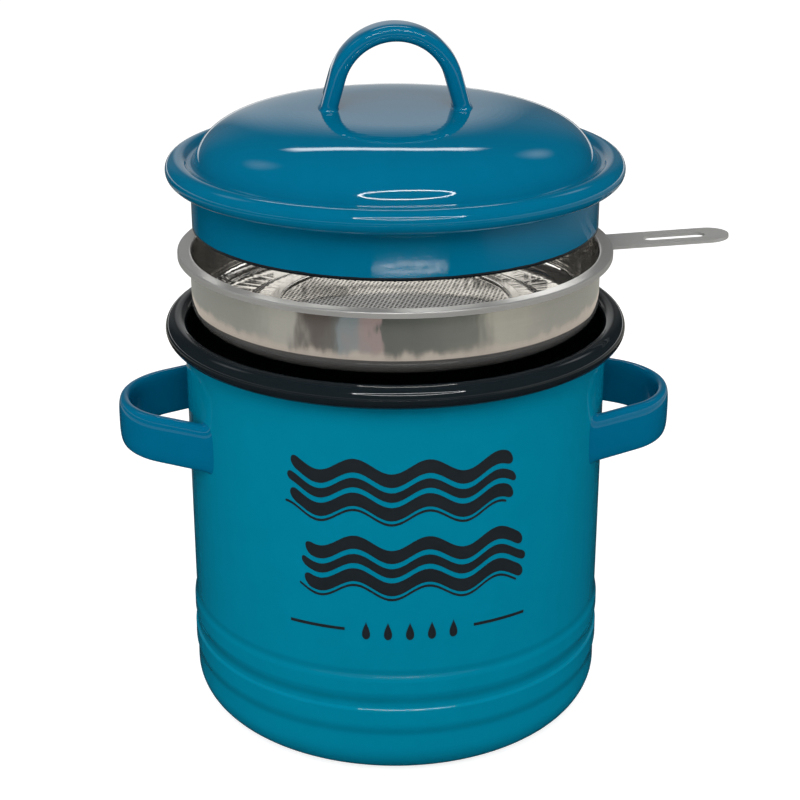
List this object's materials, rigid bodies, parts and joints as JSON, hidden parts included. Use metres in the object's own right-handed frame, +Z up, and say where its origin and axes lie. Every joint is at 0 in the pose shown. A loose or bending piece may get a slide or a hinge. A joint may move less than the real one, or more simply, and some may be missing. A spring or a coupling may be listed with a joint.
{
  "type": "grease container",
  "caption": "Round enamelled keeper pot with side handles, a lift-out strainer with a slotted strip handle, and a domed lid with an arched handle.",
  "frame": {"origin": "centre of the flat base that the pot stands on", "axes": "+Z up along the pot's axis; the two side handles, the lid handle and the strainer's strip handle lie along X, the strip handle towards +X"},
  "size_m": [0.1822, 0.136, 0.2076],
  "materials": {
    "blue_enamel": "glossy fired enamel on steel",
    "black_enamel": "glossy fired enamel on steel",
    "polished_steel": "polished stainless sheet",
    "satin_steel": "satin stainless strip",
    "perforated_steel": "finely perforated stainless sheet"
  },
  "bodies": {
    "pot": {"pot_body": "blue_enamel", "pot_lining": "black_enamel", "side_handle_left": "blue_enamel", "side_handle_right": "blue_enamel"},
    "strainer": {"strainer_pan": "polished_steel", "strainer_mesh": "perforated_steel", "mesh_ring": "polished_steel", "strainer_handle": "satin_steel"},
    "lid": {"lid_shell": "blue_enamel", "lid_collar": "blue_enamel", "lid_lining": "black_enamel", "lid_handle": "blue_enamel"}
  },
  "joints": [
    {"name": "strainer_lift", "type": "slide", "parent": "pot", "child": "strainer", "axis": [0, 0, 1], "range_m": [-0.01825, 0.04]},
    {"name": "lid_lift", "type": "slide", "parent": "strainer", "child": "lid", "axis": [0, 0, 1], "range_m": [-0.0196, 0.06]}
  ]
}
